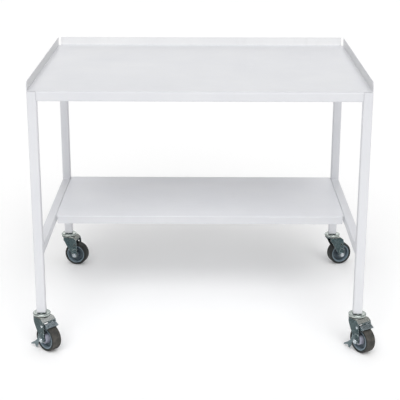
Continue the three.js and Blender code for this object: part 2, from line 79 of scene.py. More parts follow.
# Caster
BALL_RADIUS = 2.35
BALL_COUNT = 20
BALL_CIRCLE = 16.0
BALL_HEIGHT = 102.95
TRAIL = 27.0
AXLE_HEIGHT = 37.761
FORK_HALF_WIDTH = 23.0
FORK_SHEET = 3.0
FORK_TOP = 100.0
FORK_BEND = 6.0
CROWN_RADIUS = 24.0
VISOR_START = 20.0
VISOR_END = 32.0
VISOR_DROP = 10.0
EYE_RADIUS = 9.5
FORK_BORE = 7.0
PAD_HEIGHT = 1.2
PAD_HALF_WIDTH = 8.5
PAD_SHOULDER = 50.0
CHEEK_EDGE = [(0, 66), (-9, 84), (-CROWN_RADIUS, 90)]
PIVOT = (26.0, 77.5)
CUP_RADIUS = 25.0
CUP_BOTTOM = 101.2
CUP_TOP = 108.0
LEG_BOTTOM = 112.0
STEM_TOP = 145.0
STEM_BORE = 5.15
INSERT_TOP = 148.0
INSERT_FLANGE = 2.0
INSERT_FLANGE_SIDE = 25.4
INSERT_PLUG_SIDE = 22.0
AXLE_RADIUS = 4.0
AXLE_BORE = 4.15
HUB_RADIUS = 13.0
HUB_HALF_WIDTH = 19.0
WEB_HALF_WIDTH = 4.0
BAND_INSIDE = 26.95
BAND_OUTSIDE = 29.95
TYRE_HALF_WIDTH = 16.0
TYRE_SHOULDER = 5.0
RIVET_HOLE = 2.7
SLOT_HALF_WIDTH = 2.3
HEX_RADIUS = 7.5
HEX_HEIGHT = 6.0
# How far the cutting tools reach past a fork on each side
TOOL_WIDTH = 30.0
TOOL_LENGTH = 61.0
UNDERSIDE_LENGTH = 60.0
BORE_LENGTH = 40.0
ARM_GAP = 0.8
ARM_SHEET = 2.0
STRAP_RADIUS = 16.0


# ---- Materials -----------------------------------------------------------


class Nodes:
    """Short-hand for building one node material."""

    def __init__(self, name):
        self.material = bpy.data.materials.new(name)
        self.material.use_nodes = True
        self.tree = self.material.node_tree
        self.shader = self.tree.nodes["Principled BSDF"]
        self.coords = self.tree.nodes.new("ShaderNodeTexCoord").outputs["Object"]

    def link(self, source, target):
        self.tree.links.new(source, target)

    def noise(self, scale, detail=3.0, roughness=0.55, distortion=0.0, stretch=None):
        node = self.tree.nodes.new("ShaderNodeTexNoise")
        node.inputs["Scale"].default_value = scale
        node.inputs["Detail"].default_value = detail
        node.inputs["Roughness"].default_value = roughness
        node.inputs["Distortion"].default_value = distortion
        self.link(self.stretched(stretch), node.inputs["Vector"])
        return node.outputs["Fac"]

    def cells(self, scale):
        node = self.tree.nodes.new("ShaderNodeTexVoronoi")
        node.inputs["Scale"].default_value = scale
        self.link(self.coords, node.inputs["Vector"])
        return node.outputs["Distance"]

    def stretched(self, stretch):
        if stretch is None:
            return self.coords
        node = self.tree.nodes.new("ShaderNodeMapping")
        node.inputs["Scale"].default_value = stretch
        self.link(self.coords, node.inputs["Vector"])
        return node.outputs["Vector"]

    def edges(self, radius):
        """About 1 within this distance of a hard edge, 0 on open faces and smooth bends."""
        bevel = self.tree.nodes.new("ShaderNodeBevel")
        bevel.samples = 6
        bevel.inputs["Radius"].default_value = radius * MM
        dot = self.tree.nodes.new("ShaderNodeVectorMath")
        dot.operation = "DOT_PRODUCT"
        self.link(bevel.outputs["Normal"], dot.inputs[0])
        self.link(self.tree.nodes.new("ShaderNodeNewGeometry").outputs["Normal"], dot.inputs[1])
        return self.spread(dot.outputs["Value"], 0.995, 0.9)

    def upward(self):
        split = self.tree.nodes.new("ShaderNodeSeparateXYZ")
        self.link(self.tree.nodes.new("ShaderNodeNewGeometry").outputs["Normal"], split.inputs[0])
        return split.outputs["Z"]

    def spread(self, value, low, high, out_low=0.0, out_high=1.0):
        node = self.tree.nodes.new("ShaderNodeMapRange")
        node.inputs["From Min"].default_value = low
        node.inputs["From Max"].default_value = high
        node.inputs["To Min"].default_value = out_low
        node.inputs["To Max"].default_value = out_high
        self.link(value, node.inputs["Value"])
        return node.outputs["Result"]

    def share(self, mask, amount):
        """The mask scaled so that it reaches this amount at most."""
        return self.spread(mask, 0, 1, 0.0, amount)

    def mix(self, factor, first, second):
        node = self.tree.nodes.new("ShaderNodeMix")
        node.data_type = "RGBA"
        self.feed(node.inputs["Factor"], factor)
        self.feed(node.inputs["A"], first)
        self.feed(node.inputs["B"], second)
        return node.outputs["Result"]

    def feed(self, socket, value):
        if isinstance(value, bpy.types.NodeSocket):
            self.link(value, socket)
        elif isinstance(value, tuple):
            socket.default_value = (*value, 1.0)
        else:
            socket.default_value = value

    def bump(self, heights):
        normal = None
        for height, strength, distance in heights:
            node = self.tree.nodes.new("ShaderNodeBump")
            node.inputs["Strength"].default_value = strength
            node.inputs["Distance"].default_value = distance
            self.link(height, node.inputs["Height"])
            if normal is not None:
                self.link(normal, node.inputs["Normal"])
            normal = node.outputs["Normal"]
        self.link(normal, self.shader.inputs["Normal"])

    def finish(self, color, roughness, metallic=0.0, specular=0.5):
        self.link(color, self.shader.inputs["Base Color"])
        self.link(roughness, self.shader.inputs["Roughness"])
        self.shader.inputs["Metallic"].default_value = metallic
        self.shader.inputs["Specular IOR Level"].default_value = specular
        return self.material


def powder_coat(name, low, high):
    """White powder coat: fine orange peel, faint handling marks, a painted highlight along hard
    edges.
    """
    n = Nodes(name)
    clouds = n.spread(n.noise(6.0), 0.35, 0.65)
    color = n.mix(clouds, low, high)
    specks = n.spread(n.noise(900.0, detail=1.0), 0.66, 0.74)
    color = n.mix(n.share(specks, 0.25), color, (0.6, 0.61, 0.62))
    rub = n.spread(n.noise(38.0, detail=5.0, stretch=(1.0, 1.0, 0.25)), 0.58, 0.72)
    color = n.mix(n.share(rub, 0.10), color, (0.66, 0.665, 0.66))
    # Painted highlight: the coat is lighter along hard edges, standing in for bright edge lines.
    color = n.mix(n.share(n.edges(0.8), 0.30), color, (0.86, 0.86, 0.86))
    rough = n.spread(n.noise(24.0, detail=4.0), 0.3, 0.7, 0.34, 0.46)
    peel = n.noise(620.0, detail=2.0, roughness=0.4)
    sag = n.noise(90.0, detail=1.0)
    n.bump([(sag, 0.10, 0.0004), (peel, 0.22, 0.00025)])
    return n.finish(color, rough, specular=0.5)


def fork_zinc():
    """Greenish-grey zinc plating on pressed steel, clouded, with a painted highlight on upward
    faces and lighter edges that are part wear, part painted highlight.
    """
    n = Nodes("fork_zinc")
    clouds = n.spread(n.noise(60.0, detail=5.0, distortion=0.6), 0.34, 0.66)
    color = n.mix(clouds, (0.048, 0.078, 0.086), (0.092, 0.128, 0.136))
    tint = n.spread(n.noise(22.0, detail=2.0), 0.4, 0.7)
    color = n.mix(n.share(tint, 0.3), color, (0.10, 0.122, 0.11))
    # Painted highlight: upward faces shade towards pale zinc, as if lit from above.
    painted_top_highlight = n.spread(n.upward(), 0.3, 0.85, 0.0, 0.95)
    color = n.mix(painted_top_highlight, color, (0.66, 0.68, 0.64))
    # Lighter along hard edges: part wear, part painted edge highlight.
    color = n.mix(n.share(n.edges(1.0), 0.8), color, (0.75, 0.80, 0.80))
    rough = n.spread(n.noise(150.0, detail=5.0), 0.3, 0.7, 0.2, 0.36)
    drawn = n.noise(240.0, detail=4.0, stretch=(1.0, 1.0, 0.12))
    n.bump([(n.noise(420.0, detail=3.0), 0.16, 0.0002), (drawn, 0.10, 0.0002)])
    return n.finish(color, rough, metallic=0.9)


def cup_zinc_painted_highlight():
    """A lighter copy of the fork's plating on the swivel cup, with a painted highlight around its
    rim.
    """
    n = Nodes("cup_zinc_painted_highlight")
    clouds = n.spread(n.noise(80.0, detail=4.0), 0.35, 0.65)
    # Painted highlight: a lighter base than the fork's plating.
    color = n.mix(clouds, (0.36, 0.41, 0.39), (0.52, 0.56, 0.53))
    # Painted highlight: near-white along the rim's edges.
    color = n.mix(n.share(n.edges(1.6), 0.9), color, (0.88, 0.9, 0.88))
    rough = n.spread(n.noise(150.0, detail=5.0), 0.3, 0.7, 0.2, 0.34)
    n.bump([(n.noise(300.0, detail=3.0, stretch=(1.0, 1.0, 4.0)), 0.10, 0.0002)])
    return n.finish(color, rough, metallic=0.9)


def lever_zinc():
    """Blue-grey zinc on the brake lever, with a painted highlight on upward faces and lighter edges
    that are part wear, part painted highlight.
    """
    n = Nodes("lever_zinc")
    clouds = n.spread(n.noise(75.0, detail=4.0), 0.35, 0.65)
    color = n.mix(clouds, (0.10, 0.138, 0.148), (0.20, 0.25, 0.265))
    # Painted highlight: upward faces shade towards pale zinc, as if lit from above.
    painted_top_highlight = n.spread(n.upward(), 0.2, 0.95, 0.0, 0.5)
    color = n.mix(painted_top_highlight, color, (0.42, 0.49, 0.52))
    # Lighter along hard edges: part wear, part painted edge highlight.
    color = n.mix(n.share(n.edges(0.8), 0.85), color, (0.8, 0.84, 0.88))
    rough = n.spread(n.noise(200.0, detail=4.0), 0.3, 0.7, 0.22, 0.4)
    n.bump([(n.noise(500.0, detail=3.0), 0.14, 0.00015)])
    return n.finish(color, rough, metallic=0.9)


def hub_painted_light():
    """Pale lavender-grey hub insert, worn smooth beside the cheeks: a lit copy of the wheel's
    nylon, painted light used on the front hubs only.
    """
    n = Nodes("hub_painted_light")
    clouds = n.spread(n.noise(90.0, detail=4.0), 0.35, 0.65)
    color = n.mix(clouds, (0.30, 0.31, 0.38), (0.42, 0.43, 0.51))
    rough = n.spread(n.noise(200.0, detail=3.0), 0.3, 0.7, 0.3, 0.48)
    n.bump([(n.noise(800.0, detail=2.0), 0.10, 0.0001)])
    return n.finish(color, rough, specular=0.5)


def rim_lip_painted_highlight():
    """Lighter blue-grey nylon on the outer band of the wheel centre: a painted highlight on the
    raised lip against the darker dished web.
    """
    n = Nodes("rim_lip_painted_highlight")
    clouds = n.spread(n.noise(60.0, detail=4.0), 0.35, 0.65)
    color = n.mix(clouds, (0.155, 0.215, 0.255), (0.24, 0.305, 0.355))
    rough = n.spread(n.noise(180.0, detail=3.0), 0.3, 0.7, 0.32, 0.5)
    n.bump([(n.noise(700.0, detail=2.0), 0.12, 0.0002)])
    return n.finish(color, rough, specular=0.5)


def cup_lip_painted_shadow():
    """Painted shadow: a near-black film on the cup's lower lip, for the shade in the gap above the
    fork's crown.
    """
    n = Nodes("cup_lip_painted_shadow")
    film = n.spread(n.noise(120.0, detail=4.0), 0.4, 0.65)
    color = n.mix(film, (0.010, 0.014, 0.013), (0.030, 0.036, 0.033))
    rough = n.spread(n.noise(220.0, detail=3.0), 0.3, 0.7, 0.35, 0.6)
    n.bump([(n.noise(420.0, detail=3.0), 0.2, 0.0002)])
    return n.finish(color, rough, specular=0.4)


def bright_zinc():
    """Bright zinc on the fasteners and stems, with a faint blue cast and lighter edges that are
    part handling wear, part painted highlight.
    """
    n = Nodes("bright_zinc")
    clouds = n.spread(n.noise(85.0, detail=4.0), 0.35, 0.65)
    color = n.mix(clouds, (0.44, 0.50, 0.53), (0.66, 0.70, 0.73))
    # Lighter along hard edges: part wear, part painted edge highlight.
    color = n.mix(n.share(n.edges(0.4), 0.65), color, (0.88, 0.9, 0.92))
    rough = n.spread(n.noise(200.0, detail=4.0), 0.3, 0.7, 0.16, 0.34)
    n.bump([(n.noise(500.0, detail=3.0), 0.14, 0.00015)])
    return n.finish(color, rough, metallic=0.93)


def bearing_steel():
    """Ground steel with turning marks and a film of grease."""
    n = Nodes("bearing_steel")
    film = n.spread(n.noise(140.0, detail=3.0), 0.4, 0.65)
    color = n.mix(film, (0.36, 0.36, 0.35), (0.55, 0.56, 0.57))
    rough = n.spread(n.noise(260.0, detail=3.0), 0.3, 0.7, 0.15, 0.38)
    n.bump([(n.noise(900.0, detail=2.0), 0.10, 0.0001)])
    return n.finish(color, rough, metallic=1.0)


def rim_plastic():
    """Moulded dark blue-grey nylon: slight sink marks, lighter edges that are part scuffing, part
    painted highlight.
    """
    n = Nodes("rim_plastic")
    clouds = n.spread(n.noise(45.0, detail=4.0), 0.35, 0.65)
    color = n.mix(clouds, (0.052, 0.076, 0.092), (0.095, 0.125, 0.150))
    # Lighter along hard edges: part scuffing, part painted edge highlight.
    color = n.mix(n.share(n.edges(0.5), 0.45), color, (0.34, 0.40, 0.47))
    rough = n.spread(n.noise(180.0, detail=3.0), 0.3, 0.7, 0.38, 0.58)
    n.bump([(n.noise(700.0, detail=2.0), 0.12, 0.0002), (n.noise(60.0), 0.08, 0.0004)])
    return n.finish(color, rough, specular=0.45)


def tyre_rubber():
    """Dull grey-brown rubber, dusty on the tread and scuffed where it rolls."""
    n = Nodes("tyre_rubber")
    dust = n.spread(n.noise(55.0, detail=6.0, roughness=0.65), 0.38, 0.68)
    color = n.mix(dust, (0.045, 0.045, 0.042), (0.098, 0.092, 0.082))
    scuff = n.spread(n.noise(420.0, detail=3.0), 0.6, 0.75)
    color = n.mix(n.share(scuff, 0.35), color, (0.17, 0.16, 0.145))
    rough = n.spread(n.noise(120.0, detail=4.0), 0.3, 0.7, 0.68, 0.88)
    pores = n.cells(1100.0)
    n.bump([(n.noise(520.0, detail=4.0), 0.35, 0.0003), (pores, 0.10, 0.0001)])
    return n.finish(color, rough, specular=0.3)


def sidewall_rubber():
    """Darker, smoother rubber on the sides of the tyre, off the rolling surface; also put on the
    rear treads as painted shade.
    """
    n = Nodes("sidewall_rubber")
    film = n.spread(n.noise(70.0, detail=5.0, roughness=0.6), 0.38, 0.68)
    color = n.mix(film, (0.018, 0.021, 0.02), (0.042, 0.046, 0.044))
    rough = n.spread(n.noise(140.0, detail=4.0), 0.3, 0.7, 0.5, 0.7)
    n.bump([(n.noise(640.0, detail=3.0), 0.2, 0.0002)])
    return n.finish(color, rough, specular=0.35)


def insert_plastic():
    """Pale grey moulded plug with a fine spark-eroded texture."""
    n = Nodes("insert_plastic")
    clouds = n.spread(n.noise(70.0, detail=4.0), 0.35, 0.65)
    color = n.mix(clouds, (0.46, 0.48, 0.50), (0.58, 0.60, 0.62))
    rough = n.spread(n.noise(220.0), 0.3, 0.7, 0.45, 0.62)
    n.bump([(n.noise(1300.0, detail=2.0), 0.25, 0.0001)])
    return n.finish(color, rough, specular=0.4)


SLOTS = {
    "frame_paint": powder_coat("powder_coat", (0.700, 0.708, 0.738), (0.730, 0.737, 0.760)),
    "fork_zinc": fork_zinc(),
    "bright_zinc": bright_zinc(),
    "bearing_steel": bearing_steel(),
    "rim_plastic": rim_plastic(),
    "tyre_rubber": tyre_rubber(),
    "insert_plastic": insert_plastic(),
}
# Painted light: lighter copies of the frame's powder coat for the shelf top and the upstands' inner
# faces, standing in for the light they catch.
SHELF_TOP_PAINTED_LIGHT = powder_coat("shelf_top_painted_light", (0.798, 0.806, 0.838), (0.830, 0.837, 0.862))
UPSTAND_PAINTED_LIGHT = powder_coat("upstand_painted_light", (0.860, 0.864, 0.872), (0.895, 0.898, 0.900))
CUP_ZINC_PAINTED_HIGHLIGHT = cup_zinc_painted_highlight()
LEVER_ZINC = lever_zinc()
SIDEWALL_RUBBER_AND_PAINTED_SHADE = sidewall_rubber()
HUB_PAINTED_LIGHT = hub_painted_light()
RIM_LIP_PAINTED_HIGHLIGHT = rim_lip_painted_highlight()
CUP_LIP_PAINTED_SHADOW = cup_lip_painted_shadow()
BODY_OF = {node: body for body, nodes in BODIES.items() for node in nodes}
SLOT_OF = {part["node"]: part["material_slot"] for part in frame["record"]["subparts"]}


# ---- Pieces --------------------------------------------------------------


def piece(name, bm, body, slot, replaced=(), sharp=32.0, finishes=None):
    """Turn a bmesh in metres into a finished piece on a body."""
    bmesh.ops.recalc_face_normals(bm, faces=bm.faces)
    mesh = bpy.data.meshes.new(name)
    bm.to_mesh(mesh)
    bm.free()
    mesh.polygons.foreach_set("use_smooth", [True] * len(mesh.polygons))
    mesh.set_sharp_from_angle(angle=math.radians(sharp))
    obj = bpy.data.objects.new(name, mesh)
    bpy.context.scene.collection.objects.link(obj)
    weighted = obj.modifiers.new("weighted_normals", "WEIGHTED_NORMAL")
    weighted.keep_sharp = True
    for finish in finishes or [SLOTS[slot]]:
        mesh.materials.append(finish)
    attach(obj, body)
    if replaced:
        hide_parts(*replaced)
    return obj


def give_second_finish(bm, chosen, index=1):
    """Give the faces whose centre (in millimetres) and normal are chosen another finish."""
    for face in bm.faces:
        if chosen(face.calc_center_median() / MM, face.normal):
            face.material_index = index


def stand_in(node, bm, sharp=32.0, finishes=None):
    """A detailed piece in place of one CAD node, on its body, in its slot's material unless other
    finishes are given.
    """
    return piece(f"{node}_detail", bm, BODY_OF[node], SLOT_OF[node], [node], sharp, finishes)


def clean(bm):
    bmesh.ops.remove_doubles(bm, verts=bm.verts, dist=1e-5)
    bmesh.ops.dissolve_limit(
        bm, angle_limit=math.radians(1.0), verts=bm.verts, edges=bm.edges
    )


def round_edges(bm, width, segments=2, angle=28.0):
    limit = math.radians(angle)
    hard = [e for e in bm.edges if len(e.link_faces) == 2 and e.calc_face_angle() > limit]
    bmesh.ops.bevel(
        bm,
        geom=hard,
        offset=width,
        offset_type="OFFSET",
        segments=segments,
        profile=0.5,
        affect="EDGES",
        clamp_overlap=True,
    )


def arc(u, v, radius, start, end, steps):
    """Points on an arc, angles in degrees, both ends included."""
    points = []
    for i in range(steps + 1):
        angle = math.radians(start + (end - start) * i / steps)
        points.append((u + radius * math.cos(angle), v + radius * math.sin(angle)))
    return points


def circle(u, v, radius, steps):
    return arc(u, v, radius, 0, 360, steps)[:steps]


def filleted(points, radius, steps=3, looped=True):
    """The polyline with its corners rounded, each by as much as its sides allow."""
    corners = [Vector(p) for p in points]
    out = []
    count = len(corners)
    for i, corner in enumerate(corners):
        if not looped and i in (0, count - 1):
            out.append(tuple(corner))
            continue
        to_prev = corners[i - 1] - corner
        to_next = corners[(i + 1) % count] - corner
        turn = math.pi - to_prev.angle(to_next)
        if turn < math.radians(12):
            out.append(tuple(corner))
            continue
        reach = radius * math.tan(turn / 2)
        reach = min(reach, 0.45 * to_prev.length, 0.45 * to_next.length)
        start = corner + to_prev.normalized() * reach
        end = corner + to_next.normalized() * reach
        for k in range(steps + 1):
            t = k / steps
            out.append(tuple((1 - t) ** 2 * start + 2 * t * (1 - t) * corner + t * t * end))
    return out


def prism(outline, low, high, place):
    """A closed prism; place turns (u, v, w) in millimetres into a point."""
    bm = bmesh.new()
    rings = [[bm.verts.new(place(u, v, w)) for u, v in outline] for w in (low, high)]
    bm.faces.new(rings[0][::-1])
    bm.faces.new(rings[1])
    count = len(outline)
    for i in range(count):
        j = (i + 1) % count
        bm.faces.new((rings[0][i], rings[0][j], rings[1][j], rings[1][i]))
    bmesh.ops.recalc_face_normals(bm, faces=bm.faces)
    return bm


def along_x(u, v, w):
    return Vector((w, u, v)) * MM


def along_y(u, v, w):
    return Vector((u, w, v)) * MM


def along_z(u, v, w):
    return Vector((u, v, w)) * MM


def scratch_object(bm):
    mesh = bpy.data.meshes.new("scratch")
    bm.to_mesh(mesh)
    bm.free()
    obj = bpy.data.objects.new("scratch", mesh)
    bpy.context.scene.collection.objects.link(obj)
    return obj


def combined(start, steps):
    """Apply a list of (operation, bmesh) to the starting bmesh."""
    body = scratch_object(start)
    tools = []
    for operation, bm in steps:
        tool = scratch_object(bm)
        modifier = body.modifiers.new("step", "BOOLEAN")
        modifier.operation = operation
        modifier.solver = "MANIFOLD"
        modifier.object = tool
        tools.append(tool)
    graph = bpy.context.evaluated_depsgraph_get()
    result = bmesh.new()
    result.from_object(body, graph)
    for obj in [body, *tools]:
        mesh = obj.data
        bpy.data.objects.remove(obj)
        bpy.data.meshes.remove(mesh)
    clean(result)
    return result


def lathe(profile, steps, looped, axis="Z", phase=0.0):
    """Turn a profile of (radius, reach) in millimetres about Z or about the axle line Y."""
    bm = bmesh.new()
    rings = []
    for radius, reach in profile:
        if radius < 1e-6:
            rings.append([bm.verts.new(spun(0, reach, 0, axis))] * steps)
            continue
        turn = [phase + 2 * math.pi * i / steps for i in range(steps)]
        rings.append([bm.verts.new(spun(radius, reach, a, axis)) for a in turn])
    pairs = list(zip(rings, rings[1:]))
    if looped:
        pairs.append((rings[-1], rings[0]))
    for first, second in pairs:
        for i in range(steps):
            j = (i + 1) % steps
            corners = list(dict.fromkeys((first[i], first[j], second[j], second[i])))
            if len(corners) > 2:
                bm.faces.new(corners)
    bmesh.ops.recalc_face_normals(bm, faces=bm.faces)
    return bm


def spun(radius, reach, angle, axis):
    a, b = radius * math.cos(angle), radius * math.sin(angle)
    point = (a, b, reach) if axis == "Z" else (a, reach, b)
    return Vector(point) * MM


def joined(*parts):
    """Several bmeshes as one."""
    result = parts[0]
    for part in parts[1:]:
        mesh = bpy.data.meshes.new("joined")
        part.to_mesh(mesh)
        part.free()
        result.from_mesh(mesh)
        bpy.data.meshes.remove(mesh)
    return result


def moved(bm, matrix):
    bmesh.ops.transform(bm, matrix=matrix, verts=bm.verts)
    return bm


def shifted(bm, x, y, z):
    return moved(bm, Matrix.Translation(Vector((x, y, z)) * MM))


# ---- Frame ---------------------------------------------------------------


def rounded_square(side, corner, steps=6):
    reach = side / 2 - corner
    return [
        *arc(reach, reach, corner, 0, 90, steps),
        *arc(-reach, reach, corner, 90, 180, steps),
        *arc(-reach, -reach, corner, 180, 270, steps),
        *arc(reach, -reach, corner, 270, 360, steps),
    ]


def tube_bmesh(side, low, high, place):
    """A hollow square tube with radiused corners and eased cut ends."""
    ease = 0.25
    outer = rounded_square(side, TUBE_CORNER)
    eased = rounded_square(side - 2 * ease, TUBE_CORNER - ease)
    inner = rounded_square(side - 2 * TUBE_WALL, TUBE_CORNER - TUBE_WALL)
    sections = [
        (inner, low),
        (eased, low),
        (outer, low + ease),
        (outer, high - ease),
        (eased, high),
        (inner, high),
    ]
    bm = bmesh.new()
    rings = [[bm.verts.new(place(u, v, w)) for u, v in line] for line, w in sections]
    count = len(outer)
    for first, second in zip(rings, rings[1:] + rings[:1]):
        for i in range(count):
            j = (i + 1) % count
            bm.faces.new((first[i], first[j], second[j], second[i]))
    return bm


def build_tubes():
    """Legs and rails, each along the longest side of its CAD node's box."""
    for node in BODIES["frame"]:
        if not (node.endswith("_leg") or "_rail_" in node):
            continue
        low, high = (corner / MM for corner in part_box(node))
        size = high - low
        middle = (high + low) / 2
        axis = max(range(3), key=lambda k: size[k])
        place = (along_x, along_y, along_z)[axis]
        side = min(size)
        bm = tube_bmesh(side, -size[axis] / 2, size[axis] / 2, place)
        stand_in(node, shifted(bm, *middle), sharp=50.0)


def weld_bead(start, end, out_a, out_b):
    """A fillet weld between two square faces, with the ripples of its passes."""
    a, b = Vector(start), Vector(end)
    run = b - a
    count = max(6, round(run.length / WELD_PITCH * 4))
    bm = bmesh.new()
    rings = []
    for i in range(count + 1):
        t = i / count
        taper = min(1.0, 4 * t + 0.25, 4 * (1 - t) + 0.25)
        ripple = WELD_RIPPLE * math.sin(2 * math.pi * t * run.length / WELD_PITCH)
        leg = WELD_RADIUS * taper * (1 + ripple)
        root = a + run * t - (out_a + out_b) * WELD_SINK
        ring = [root]
        for k in range(WELD_STEPS + 1):
            angle = math.pi / 2 * k / WELD_STEPS
            hollow = 0.66 + 0.34 * abs(math.cos(2 * angle))
            reach = leg * hollow
            ring.append(root + out_a * reach * math.cos(angle) + out_b * reach * math.sin(angle))
        rings.append([bm.verts.new(p * MM) for p in ring])
    for first, second in zip(rings, rings[1:]):
        for i in range(len(first)):
            j = (i + 1) % len(first)
            bm.faces.new((first[i], first[j], second[j], second[i]))
    bm.faces.new(rings[0])
    bm.faces.new(rings[-1][::-1])
    return bm


def build_welds():
    """Fillet welds in the inside corners where each rail meets its two legs."""
    up, down = Vector((0, 0, 1)), Vector((0, 0, -1))
    inset = TUBE_CORNER
    for node in BODIES["frame"]:
        if "_rail_" not in node:
            continue
        low, high = (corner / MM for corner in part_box(node))
        along = 0 if high.x - low.x > high.y - low.y else 1
        across = 1 - along
        beads = []
        faces = [(low.z, down), (high.z, up)] if node.startswith("shelf") else [(low.z, down)]
        for z, outward in faces:
            for end, sign in ((low, 1.0), (high, -1.0)):
                inward = Vector((0, 0, 0))
                inward[along] = sign
                start, stop = Vector((0, 0, z)), Vector((0, 0, z))
                start[along] = stop[along] = end[along]
                start[across] = low[across] + inset
                stop[across] = high[across] - inset
                beads.append(weld_bead(start, stop, inward, outward))
        piece(f"{node}_welds", joined(*beads), "frame", "frame_paint", sharp=60.0)


# ---- Folded sheets -------------------------------------------------------


def folded(path, steps=6):
    """Outline of a bent sheet along a centre line, with a round bend at each corner."""
    radius = BEND_OUTSIDE - SHEET / 2
    corners = [Vector(p) for p in path]
    headings = [(b - a).normalized() for a, b in zip(corners, corners[1:])]
    normals = [Vector((-h.y, h.x)) for h in headings]
    left, right = [], []

    def place(point, normal):
        left.append(tuple(point + normal * SHEET / 2))
        right.append(tuple(point - normal * SHEET / 2))

    place(corners[0], normals[0])
    for i in range(1, len(headings)):
        before, after = headings[i - 1], headings[i]
        turn = math.asin(before.x * after.y - before.y * after.x)
        side = math.copysign(1.0, turn)
        start = corners[i] - before * radius * math.tan(abs(turn) / 2)
        centre = start + normals[i - 1] * side * radius
        for step in range(steps + 1):
            swing = turn * step / steps
            c, s = math.cos(swing), math.sin(swing)
            n = normals[i - 1]
            normal = Vector((n.x * c - n.y * s, n.x * s + n.y * c))
            place(centre - normal * side * radius, normal)
    place(corners[-1], normals[-1])
    return left + right[::-1]


def build_worktop():
    """Flat sheet with side and rear upstands, open corners behind and chamfered front ends."""
    low, high = (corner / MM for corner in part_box("worktop"))
    floor, top = low.z, low.z + UPSTAND
    half = SHEET / 2
    sides = folded(
        [
            (low.x + half, top),
            (low.x + half, floor + half),
            (high.x - half, floor + half),
            (high.x - half, top),
        ]
    )
    rear = folded(
        [
            (low.y + REAR_OVERLAP, floor + half),
            (high.y - half, floor + half),
            (high.y - half, top),
        ]
    )
    plate = [
        (low.y, floor),
        (high.y - BEND_OUTSIDE, floor),
        (high.y - BEND_OUTSIDE, floor + SHEET),
        (low.y, floor + SHEET),
    ]
    side_sheet = prism(sides, low.y, high.y - UPSTAND_NOTCH, along_y)
    rear_sheet = prism(rear, low.x + UPSTAND_NOTCH, high.x - UPSTAND_NOTCH, along_x)
    flat = prism(plate, low.x + BEND_OUTSIDE, high.x - BEND_OUTSIDE, along_x)
    cut = UPSTAND_CHAMFER
    front = prism(
        [(low.y - 1, top + 1), (low.y - 1, top - cut - 1), (low.y + cut + 1, top + 1)],
        low.x - 1,
        high.x + 1,
        along_x,
    )
    bm = combined(side_sheet, [("UNION", rear_sheet), ("UNION", flat), ("DIFFERENCE", front)])
    round_edges(bm, EDGE * MM, 2, 40)
    middle = Vector((low.x + high.x, low.y + high.y, 2 * floor)) / 2
    # Painted light: the upstands' inner faces get the lighter upstand coat.
    give_second_finish(
        bm,
        lambda centre, normal: normal.dot(middle - centre) > 0
        and centre.z > floor + BEND_OUTSIDE
        and abs(normal.z) < 0.5,
    )
    stand_in("worktop", bm, sharp=45.0, finishes=[SLOTS["frame_paint"], UPSTAND_PAINTED_LIGHT])


def build_shelf():
    """Flat sheet with flanges down on all sides, the front and rear ones hemmed inwards."""
    low, high = (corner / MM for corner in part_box("lower_shelf"))
    top = high.z
    half = SHEET / 2
    ends = folded(
        [
            (low.x + half, top - SHELF_SIDE_FLANGE),
            (low.x + half, top - half),
            (high.x - half, top - half),
            (high.x - half, top - SHELF_SIDE_FLANGE),
        ]
    )
    hem = top - SHELF_FLANGE + half
    edges = folded(
        [
            (low.y + SHELF_LIP, hem),
            (low.y + half, hem),
            (low.y + half, top - half),
            (high.y - half, top - half),
            (high.y - half, hem),
            (high.y - SHELF_LIP, hem),
        ]
    )
    plate = [
        (low.y + BEND_OUTSIDE, top - SHEET),
        (high.y - BEND_OUTSIDE, top - SHEET),
        (high.y - BEND_OUTSIDE, top),
        (low.y + BEND_OUTSIDE, top),
    ]
    end_sheet = prism(ends, low.y + SHELF_NOTCH, high.y - SHELF_NOTCH, along_y)
    edge_sheet = prism(edges, low.x + SHELF_NOTCH, high.x - SHELF_NOTCH, along_x)
    flat = prism(plate, low.x + BEND_OUTSIDE, high.x - BEND_OUTSIDE, along_x)
    bm = combined(end_sheet, [("UNION", edge_sheet), ("UNION", flat)])
    round_edges(bm, EDGE * MM, 2, 40)
    # Painted light: the shelf's top and front bend get the lighter shelf coat.
    give_second_finish(bm, lambda centre, normal: normal.z > 0.25)
    stand_in("lower_shelf", bm, sharp=45.0, finishes=[SLOTS["frame_paint"], SHELF_TOP_PAINTED_LIGHT])


# ---- Caster --------------------------------------------------------------


def channel_end(half_width, top, bend):
    """Section across the fork: an upright slab with round bends at its top corners."""
    reach = half_width - bend
    return [
        (-half_width, 0),
        (half_width, 0),
        *arc(reach, top - bend, bend, 0, 90, 8),
        *arc(-reach, top - bend, bend, 90, 180, 8),
    ]


